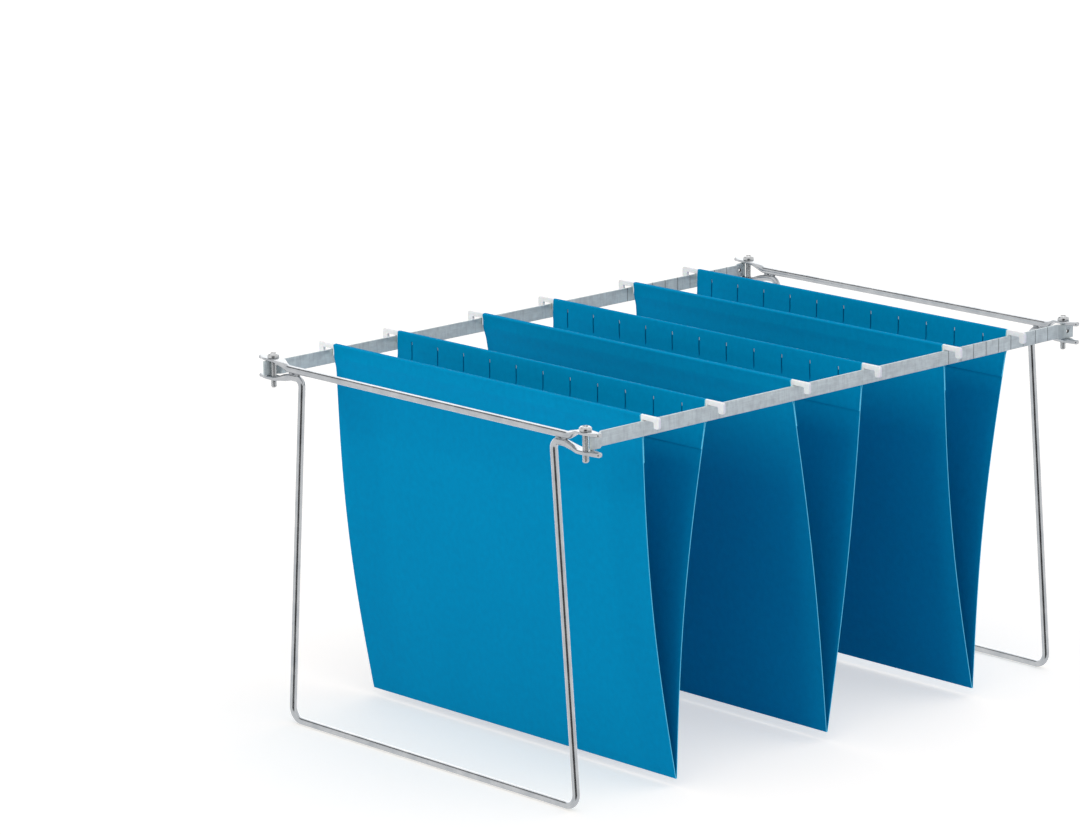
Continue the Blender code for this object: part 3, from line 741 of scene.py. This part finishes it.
def make_strip(hand, side):
    """A scored strip on edge, its ends stepped outwards, a hole in its scored end."""
    middle_z = (RAIL_TOP + RAIL_BOTTOM) / 2.0
    low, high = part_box(f"{hand}_rail")
    shift = (low.x + high.x) / 2.0
    stations = strip_stations()
    rings = []
    for x, depth in stations:
        before = SCREW_X - abs(x)
        step_out = STRIP_JOGGLE * smooth_step((JOGGLE_START - before) / (JOGGLE_START - JOGGLE_END))
        half = STRIP_THICKNESS / 2.0 - depth
        if rail_end_x() - abs(x) < 1e-6:
            half -= STRIP_END_BREAK
        across = side * (SCREW_Y + step_out)
        rings.append([(x + shift, across + y, middle_z + z) for y, z in strip_section(half)])

    # The score lines' groove faces take the near-black painted shade.
    def material_of(row):
        return 1 if stations[row][1] + stations[row + 1][1] > SCORE_DEPTH else 0

    bm = skin(rings, [x for x, depth in stations], material_of)
    strip = make_object(f"{hand}_strip", bm, [strip_steel, score_painted_shade], 35.0)
    centre = (SCREW_X - END_HOLE_BEFORE_SCREW + shift, side * (SCREW_Y + STRIP_JOGGLE), middle_z)
    turn = Matrix.Rotation(math.pi / 2.0, 3, "X")
    drill = cylinder_cutter("drill", END_HOLE_RADIUS, 4.0 * STRIP_THICKNESS, turn, centre)
    subtract(strip, [drill])
    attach(strip, "rack")
    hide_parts(f"{hand}_rail")


# ---------------------------------------------------------------- screws
def make_clamp_screw(node):
    """Pan-head screw with a cross recess and a rolled thread."""
    low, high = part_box(node)
    x = (low.x + high.x) / 2.0
    y = (low.y + high.y) / 2.0
    seat = upper_ear_z() + UPPER_EAR_EYE[1]
    rings = []
    crown_steps = 8
    for step in range(crown_steps + 1):
        angle = math.pi / 2.0 * step / crown_steps
        radius = HEAD_RADIUS * (HEAD_FLAT + (1.0 - HEAD_FLAT) * math.sin(angle))
        height = HEAD_HEIGHT * (HEAD_RIM + (1.0 - HEAD_RIM) * math.cos(angle))
        rings.append([(radius, height)] * THREAD_SIDES)
    for corner in HEAD_UNDERSIDE:
        rings.append([corner] * THREAD_SIDES)
    bottom = low.z - seat
    rows = int(-bottom / (THREAD_PITCH / 6.0))
    for row in range(rows + 1):
        height = bottom * row / rows
        point = min(1.0, (height - bottom) / THREAD_POINT)
        ring = []
        for k in range(THREAD_SIDES):
            phase = (-height / THREAD_PITCH + k / THREAD_SIDES) % 1.0
            crest = min(1.0, THREAD_CREST_FLATNESS * abs(2.0 * phase - 1.0))
            radius = THREAD_ROOT + (THREAD_RADIUS - THREAD_ROOT) * crest
            taper = THREAD_POINT_RADIUS + (1.0 - THREAD_POINT_RADIUS) * point
            ring.append((radius * taper, height - SHANK_BELOW_SEAT))
        rings.append(ring)
    placed = []
    for ring in rings:
        loop = []
        for k, (radius, height) in enumerate(ring):
            angle = 2.0 * math.pi * k / THREAD_SIDES
            loop.append((x + radius * math.cos(angle), y + radius * math.sin(angle), seat + height))
        placed.append(loop)
    bm = skin(placed)
    # The second material is the near-black painted shade of recesses.
    screw = make_object(node + "_zinc", bm, [screw_zinc, score_painted_shade], 35.0)
    top = (x, y, seat + HEAD_HEIGHT)
    cutters = [
        box_cutter("arm", (2.0 * RECESS_ARM, RECESS_WIDTH, 2.0 * RECESS_DEPTH), top),
        box_cutter("arm", (RECESS_WIDTH, 2.0 * RECESS_ARM, 2.0 * RECESS_DEPTH), top),
    ]
    subtract(screw, cutters)
    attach(screw, "rack")
    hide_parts(node)


# ---------------------------------------------------------------- folders
def curve_between(first, second, steps):
    """Points of an S-curve between two (outward, down) points, without the first."""
    points = []
    for step in range(1, steps + 1):
        share = step / steps
        points.append((
            first[0] + (second[0] - first[0]) * smooth_step(share),
            first[1] + (second[1] - first[1]) * share))
    return points


def flap_rows():
    """(outward, down) along a flap's middle, from the hem's end over the rod to the crease.

    Also gives how far down the slots start and end.
    """
    slot_high = SLOT_BELOW_TOP - CARD_ABOVE_ROD
    slot_low = slot_high + SLOT_HEIGHT
    hem_ply = HEM_PLY_OFFSET
    main_ply = hem_ply + CARD_THICKNESS + PLY_GAP
    rows = [(hem_ply, HEM_DEPTH), (hem_ply, (HEM_DEPTH + slot_low) / 2.0), (hem_ply, slot_low)]
    rows += curve_between(rows[-1], (-POCKET_NARROW, POCKET_STRAIGHT), 8)
    rows.append((-POCKET_WALL, slot_high))
    top = -CARD_ABOVE_ROD + CARD_THICKNESS / 2.0 - FOLD_RISE
    arch = [rows[-1], (-POCKET_WALL, top), (POCKET_NARROW, top), (POCKET_NARROW, slot_high)]
    rounded = fillet(arch, [POCKET_CORNER_RADIUS] * 2, math.radians(18.0))
    rows += [tuple(point) for point in rounded[1:]]
    rows.append((POCKET_WALL, POCKET_STRAIGHT))
    rows += curve_between(rows[-1], (main_ply, POCKET_RUN_OUT), 8)
    rows.append((main_ply, slot_low))
    stations = 30
    for step in range(1, stations + 1):
        share = step / stations
        down = slot_low + (FLAP_DEPTH - slot_low) * share
        rows.append((main_ply + (CREASE_RADIUS - main_ply) * share, down))
    return rows, slot_high, slot_low


def card_profile(number):
    """(x, z, slotted, down) along the whole card, from one hem's end to the other's, and the crease."""
    rod = Vector(JOINTS[f"folder_{number}_open"]["pos_m"])
    crease = Vector(JOINTS[f"folder_{number}_crease"]["pos_m"])
    half_opening = crease.x - rod.x
    half_angle = math.asin(half_opening / FLAP_DEPTH)
    rows, slot_high, slot_low = flap_rows()

    def place(outward, down, side):
        share = max(0.0, (down - POCKET_BOTTOM) / (FLAP_DEPTH - POCKET_BOTTOM))
        sweep = BOWS[number] * math.sin(math.pi * share)
        x = side * (outward * math.cos(half_angle) - down * math.sin(half_angle)) + sweep
        z = -(outward * math.sin(half_angle) + down * math.cos(half_angle))
        return crease.x + side * half_opening + x, rod.z + z

    def in_slot(down):
        return slot_high - 1e-6 <= down <= slot_low + 1e-6

    profile = [(*place(outward, down, -1.0), False, down) for outward, down in rows]
    crease_steps = 8
    for step in range(1, crease_steps):
        share = step / crease_steps
        angle = math.pi + half_angle + (math.pi - 2.0 * half_angle) * share
        x = crease.x + CREASE_RADIUS * math.cos(angle)
        z = crease.z + CREASE_RADIUS * math.sin(angle)
        profile.append((x, z, False, FLAP_DEPTH))
    for outward, down in reversed(rows):
        profile.append((*place(outward, down, 1.0), in_slot(down), down))
    return profile, crease


def card_columns():
    """y of the card's columns from left to right, and which gaps between them are slotted."""
    columns = [CARD_HALF_WIDTH]
    slotted = []
    for i in range(SLOT_COUNT + 1):
        end = -CARD_HALF_WIDTH
        if i < SLOT_COUNT:
            end = CARD_HALF_WIDTH - SLOT_FROM_LEFT_EDGE - i * SLOT_PITCH + SLOT_WIDTH / 2.0
        start = columns[-1]
        pieces = 3
        for piece in range(1, pieces + 1):
            columns.append(start + (end - start) * piece / pieces)
            slotted.append(False)
        if i < SLOT_COUNT:
            columns.append(end - SLOT_WIDTH)
            slotted.append(True)
    return columns, slotted


def card_wave(number, y, down):
    """How far the card strays from its curve, in metres along X."""
    share = max(0.0, (down - HEM_DEPTH) / (FLAP_DEPTH - HEM_DEPTH))
    across = math.sin(13.0 * y + 1.7 * number) + 0.5 * math.sin(31.0 * y + 0.9 * number)
    return WAVE_HEIGHT * math.sin(math.pi * share) * across


def make_card_folder(number):
    """One folder's card: a single sheet with both hems, the crease and the rear flap's slots."""
    profile, crease = card_profile(number)
    columns, slotted = card_columns()
    half = CARD_THICKNESS / 2.0
    bm = bmesh.new()
    uv_layer = bm.loops.layers.uv.new("UVMap")
    lengths = [0.0]
    for first, second in zip(profile, profile[1:]):
        lengths.append(lengths[-1] + math.hypot(second[0] - first[0], second[1] - first[1]))
    sheets = {1.0: [], -1.0: []}
    for i, (x, z, _, down) in enumerate(profile):
        ahead = profile[min(i + 1, len(profile) - 1)]
        behind = profile[max(i - 1, 0)]
        along = Vector((ahead[0] - behind[0], ahead[1] - behind[1])).normalized()
        for face_side in sheets:
            row = []
            for y in columns:
                stray = card_wave(number, y, down)
                row.append(bm.verts.new((
                    x + stray + face_side * half * along.y, y, z - face_side * half * along.x)))
            sheets[face_side].append(row)

    def is_open(i, j):
        return slotted[j] and profile[i][2] and profile[i + 1][2]

    def add_face(corners, places, material_index):
        face = bm.faces.new(corners)
        face.material_index = material_index
        for loop, place in zip(face.loops, places):
            loop[uv_layer].uv = place

    last_row = len(profile) - 1
    last_column = len(columns) - 1
    for i in range(last_row):
        for j in range(last_column):
            if is_open(i, j):
                continue
            places = [(columns[j], lengths[i]), (columns[j + 1], lengths[i]),
                      (columns[j + 1], lengths[i + 1]), (columns[j], lengths[i + 1])]
            for face_side, rows in sheets.items():
                corners = [rows[i][j], rows[i][j + 1], rows[i + 1][j + 1], rows[i + 1][j]]
                if face_side > 0.0:
                    add_face(corners, places, 0)
                else:
                    add_face(corners[::-1], places[::-1], 0)

    def add_wall(first, second, material_index):
        """Join the two faces of the card along the grid edge from first to second."""
        corners = [sheets[1.0][first[0]][first[1]], sheets[1.0][second[0]][second[1]],
                   sheets[-1.0][second[0]][second[1]], sheets[-1.0][first[0]][first[1]]]
        places = [(columns[j], lengths[i]) for i, j in (first, second, second, first)]
        add_face(corners, places, material_index)

    for i in range(last_row):
        # The side edges take the pale edge colour with its painted highlight.
        add_wall((i, 0), (i + 1, 0), 1)
        add_wall((i, last_column), (i + 1, last_column), 1)
        for j in range(last_column):
            if is_open(i, j):
                add_wall((i, j), (i + 1, j), 0)
                add_wall((i, j + 1), (i + 1, j + 1), 0)
    for j in range(last_column):
        add_wall((0, j), (0, j + 1), 0)
        add_wall((last_row, j), (last_row, j + 1), 0)
        for i in range(1, last_row):
            if is_open(i, j) != is_open(i - 1, j):
                add_wall((i, j), (i, j + 1), 0)
    card = make_object(f"folder_{number}_card", bm, [blue_card, edge_fibres_and_highlight], 45.0)
    card.visible_glossy = False     # the wires reflect the pale room and stay neutral grey
    front, rear = f"folder_{number}_front_flap", f"folder_{number}_rear_flap"
    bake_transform(card)
    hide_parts(front, rear)


def hook_outline(top, reach):
    """(distance from the rack's middle, height) round a hook that goes up to top and out to reach."""
    start = CARD_HALF_WIDTH + HOOK_FROM_CARD
    prong = reach - HOOK_PRONG_WIDTH
    ceiling = RAIL_TOP + HOOK_CLEARANCE
    corners = [
        (start, HOOK_STUB_BOTTOM),
        (HOOK_STUB_END_Y, HOOK_STUB_BOTTOM),
        (HOOK_STUB_END_Y, ceiling),
        (prong, ceiling),
        (prong, HOOK_PRONG_BOTTOM),
        (reach, HOOK_PRONG_BOTTOM),
        (reach, top),
        (start, top),
    ]
    return [Vector(point) for point in fillet(corners, HOOK_RADII, math.radians(12.0))]


def inset_loop(outline, distance):
    """A closed outline moved inwards from all its edges."""
    inset = []
    for i, point in enumerate(outline):
        before = (point - outline[i - 1]).normalized()
        after = (outline[(i + 1) % len(outline)] - point).normalized()
        normal_before = Vector((-before.y, before.x))
        normal_after = Vector((-after.y, after.x))
        bisector = (normal_before + normal_after).normalized()
        inset.append(point + bisector * (distance / max(0.5, bisector.dot(normal_before))))
    return inset


def make_hook(node, rod_body):
    """White hook with softly rounded edges, over the rail."""
    low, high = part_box(node)
    side = 1.0 if low.y > 0.0 else -1.0
    x = (low.x + high.x) / 2.0
    half = (high.x - low.x) / 2.0
    outline = hook_outline(high.z, max(abs(low.y), abs(high.y)))
    steps = 4
    layers = []
    for step in range(steps, -1, -1):
        angle = math.pi / 2.0 * step / steps
        offset = -half + HOOK_EDGE_RADIUS * (1.0 - math.sin(angle))
        layers.append((offset, HOOK_EDGE_RADIUS * HOOK_EDGE_DEPTH * (1.0 - math.cos(angle))))
    layers += [(-offset, inset) for offset, inset in reversed(layers)]
    rings = []
    for offset, inset in layers:
        rings.append([(x + offset, side * point.x, point.y) for point in inset_loop(outline, inset)])
    bm = skin(rings)
    finish_piece(node + "_hook", bm, [hook_plastic], rod_body, [node], 50.0)


# ---------------------------------------------------------------- build the object
wire_zinc = make_wire_zinc()
weld_zinc = make_weld_zinc()
strip_steel = make_strip_steel()
# Near-black painted shade for grooves and recesses.
score_painted_shade = make_score_painted_shade()
screw_zinc = make_screw_zinc()
rod_painted_reflection = make_rod_painted_reflection()
blue_card = make_card()
edge_fibres_and_highlight = make_edge_fibres_and_highlight()
hook_plastic = make_hook_plastic()

for hand, side in (("left", 1.0), ("right", -1.0)):
    make_strip(hand, side)
for end, x_side in (("front", -1.0), ("rear", 1.0)):
    make_end_frame(end, x_side * SCREW_X)
    for hand in ("left", "right"):
        make_clamp_screw(f"{end}_{hand}_screw")
for number in BOWS:
    make_card_folder(number)
    for end in ("front", "rear"):
        rod_body = f"folder_{number}_{end}_rod"
        rod = frame["nodes"][rod_body]
        rod.data.materials.clear()
        # The rod's blue tint is a painted reflection of the card.
        rod.data.materials.append(rod_painted_reflection)
        for hand in ("left", "right"):
            make_hook(f"folder_{number}_{end}_{hand}_tip", rod_body)


# ---------------------------------------------------------------- studio
def make_floor(name, height, material):
    bm = bmesh.new()
    bmesh.ops.create_grid(bm, x_segments=2, y_segments=2, size=FLOOR_HALF_SIZE)
    bmesh.ops.translate(bm, verts=bm.verts, vec=(0.0, 0.0, height))
    floor = make_object(name, bm, [material], 40.0)
    floor.visible_glossy = False
    floor.visible_shadow = False
    return floor


def make_floors():
    """One floor for the camera, and one just under it that throws light back up."""
    seen = make_floor("studio_floor", 0.0, make_floor_material())
    seen.visible_diffuse = False
    bounce = make_floor("floor_bounce", -BOUNCE_BELOW_FLOOR, make_bounce_material())
    bounce.visible_camera = False
    return seen


def make_camera():
    """Camera off the rack's near right corner, a little above it, with a long lens."""
    camera_data = bpy.data.cameras.new("camera")
    camera_data.lens = CAMERA_LENS
    camera_data.sensor_width = SENSOR_WIDTH
    camera_data.clip_end = 100.0
    camera = bpy.data.objects.new("camera", camera_data)
    bpy.context.scene.collection.objects.link(camera)
    back = Vector((
        math.sin(CAMERA_AZIMUTH) * math.cos(CAMERA_ELEVATION),
        -math.cos(CAMERA_AZIMUTH) * math.cos(CAMERA_ELEVATION),
        math.sin(CAMERA_ELEVATION)))
    level_right = Vector((math.cos(CAMERA_AZIMUTH), math.sin(CAMERA_AZIMUTH), 0.0))
    level_up = back.cross(level_right)
    right = math.cos(CAMERA_ROLL) * level_right + math.sin(CAMERA_ROLL) * level_up
    up = -math.sin(CAMERA_ROLL) * level_right + math.cos(CAMERA_ROLL) * level_up
    rotation = Matrix((right, up, back)).transposed()
    camera.matrix_world = Matrix.Translation(CAMERA_PLACE) @ rotation.to_4x4()
    bpy.context.scene.camera = camera


def make_area_light(name, place, target, size, power, tint):
    light = bpy.data.lights.new(name, "AREA")
    light.shape = "RECTANGLE"
    light.size, light.size_y = size
    light.energy = power
    light.color = tint
    lamp = bpy.data.objects.new(name, light)
    bpy.context.scene.collection.objects.link(lamp)
    lamp.location = place
    lamp.rotation_euler = (Vector(target) - Vector(place)).to_track_quat("-Z", "Y").to_euler()
    lamp.visible_glossy = False
    return lamp


def keep_off(lamp, obj):
    """Stop a lamp from lighting an object."""
    unlit = bpy.data.collections.new(lamp.name + "_unlit")
    unlit.objects.link(obj)
    unlit.collection_objects[0].light_linking.link_state = "EXCLUDE"
    lamp.light_linking.receiver_collection = unlit


def make_world():
    """Soft light, stronger from one side, with a studio's dark and bright parts in reflections."""
    world = bpy.data.worlds.new("studio")
    world.use_nodes = True
    bpy.context.scene.world = world
    tree = world.node_tree
    direction = add_node(tree, "ShaderNodeTexCoord").outputs["Generated"]
    reflected = REFLECTED_LEVEL
    for towards, outer, inner, level in REFLECTED_ZONES:
        facing = add_node(tree, "ShaderNodeVectorMath", {
            0: direction, 1: Vector(towards).normalized()}, operation="DOT_PRODUCT")
        near = map_range(tree, facing.outputs["Value"], outer, inner, 0.0, 1.0)
        reflected = mix_values(tree, near, reflected, level)
    up = add_node(tree, "ShaderNodeSeparateXYZ", {"Vector": direction}).outputs["Z"]
    level = map_range(tree, up, 0.0, 1.0, HORIZON_LEVEL, ZENITH_LEVEL)
    beside = add_node(tree, "ShaderNodeVectorMath", {
        0: direction, 1: Vector(FILL_SIDE).normalized()}, operation="DOT_PRODUCT")
    uneven = map_range(tree, beside.outputs["Value"], -1.0, 1.0, *FILL_RANGE)
    product = add_node(tree, "ShaderNodeMath", {0: level, 1: uneven}, operation="MULTIPLY")
    ray = add_node(tree, "ShaderNodeLightPath").outputs
    in_reflection = ray["Is Glossy Ray"]
    strength = mix_values(tree, in_reflection, product.outputs["Value"], reflected)
    strength = mix_values(tree, ray["Is Camera Ray"], strength, BACKDROP_LEVEL)
    tint = add_node(tree, "ShaderNodeMix", {"Factor": in_reflection}, data_type="RGBA")
    tint.inputs["A"].default_value = (*FILL_TINT, 1.0)
    tint.inputs["B"].default_value = (1.0, 1.0, 1.0, 1.0)
    background = tree.nodes["Background"]
    tree.links.new(tint.outputs["Result"], background.inputs["Color"])
    tree.links.new(strength, background.inputs["Strength"])
    world.cycles.sampling_method = "NONE"


floor = make_floors()
make_camera()
make_world()
key = make_area_light("key", KEY_PLACE, KEY_TARGET, KEY_SIZE, KEY_POWER, KEY_TINT)
keep_off(key, floor)
bpy.context.scene.view_settings.view_transform = "Standard"
